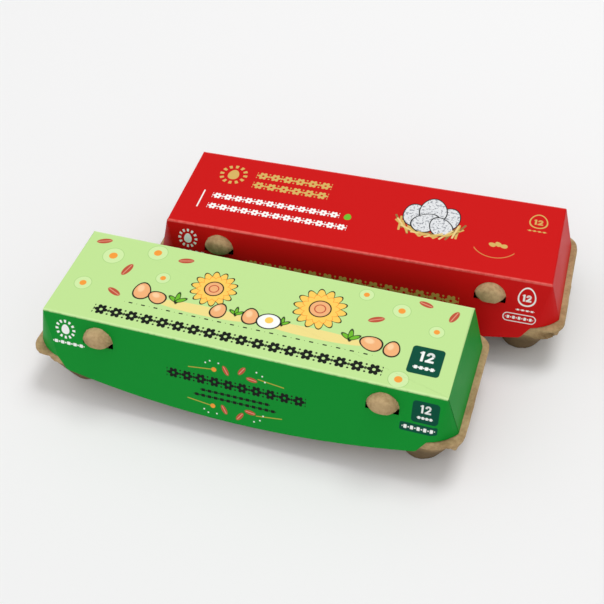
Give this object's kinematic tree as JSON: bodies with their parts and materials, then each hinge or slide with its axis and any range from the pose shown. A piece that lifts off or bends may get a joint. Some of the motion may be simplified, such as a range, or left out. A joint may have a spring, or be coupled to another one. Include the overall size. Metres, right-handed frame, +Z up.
{
  "type": "egg carton pair",
  "caption": "Two moulded-pulp egg cartons side by side, each under a folded printed card cover; the front one's long front flap swings up on its crease.",
  "frame": {"origin": "On the ground under the middle of the pair's bounding box.", "axes": "+X runs along the front carton, +Z is up, and both front flaps face -Y."},
  "size_m": [0.3458, 0.2224, 0.068],
  "materials": {
    "pulp": "rough moulded pulp",
    "green_card": "semi-gloss print",
    "red_card": "semi-gloss print"
  },
  "bodies": {
    "cartons": {"green_tray": "pulp", "green_cover": "green_card", "red_tray": "pulp", "red_cover": "red_card"},
    "flap": {"green_front_flap": "green_card"}
  },
  "joints": [
    {"name": "front_flap_crease", "type": "hinge", "parent": "cartons", "child": "flap", "pos_m": [-0.02259, -0.09476, 0.068], "axis": [-1, 0, 0], "range_deg": [0, 75]}
  ]
}
